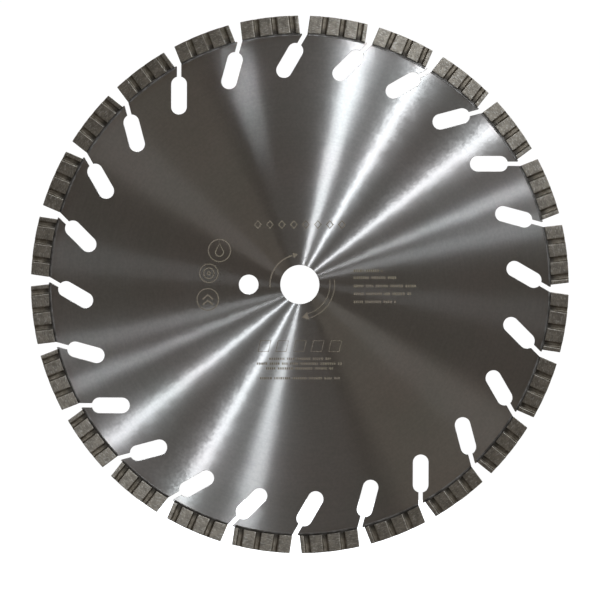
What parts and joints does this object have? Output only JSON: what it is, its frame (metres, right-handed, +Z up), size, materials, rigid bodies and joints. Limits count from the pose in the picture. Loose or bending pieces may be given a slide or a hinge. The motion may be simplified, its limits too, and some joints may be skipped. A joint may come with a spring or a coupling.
{
  "type": "diamond blade",
  "caption": "Segmented diamond cutting disc: thin steel core with keyhole gullets, a centre bore, a drive-pin hole and grooved diamond segments welded to its rim.",
  "frame": {"origin": "centre of the bore, on the spin axis, halfway through the thickness", "axes": "+Y along the spin axis, away from the front face; the drive-pin hole lies towards -X; +Z up in the plane of the blade"},
  "size_m": [0.35, 0.0032, 0.35],
  "materials": {
    "core_steel": "flat steel plate, ground in fine concentric rings",
    "sintered_segment": "satin sintered metal with diamond grit, ground along the rim",
    "weld_seam": "narrow heat-darkened weld seam",
    "etched_marking": "matt etched marks on the steel"
  },
  "bodies": {
    "root": {"steel_core": "core_steel", "diamond_segment_01": "sintered_segment", "diamond_segment_02": "sintered_segment", "diamond_segment_03": "sintered_segment", "diamond_segment_04": "sintered_segment", "diamond_segment_05": "sintered_segment", "diamond_segment_06": "sintered_segment", "diamond_segment_07": "sintered_segment", "diamond_segment_08": "sintered_segment", "diamond_segment_09": "sintered_segment", "diamond_segment_10": "sintered_segment", "diamond_segment_11": "sintered_segment", "diamond_segment_12": "sintered_segment", "diamond_segment_13": "sintered_segment", "diamond_segment_14": "sintered_segment", "diamond_segment_15": "sintered_segment", "diamond_segment_16": "sintered_segment", "diamond_segment_17": "sintered_segment", "diamond_segment_18": "sintered_segment", "diamond_segment_19": "sintered_segment", "diamond_segment_20": "sintered_segment", "diamond_segment_21": "sintered_segment", "diamond_segment_22": "sintered_segment", "diamond_segment_23": "sintered_segment", "diamond_segment_24": "sintered_segment"}
  },
  "joints": []
}
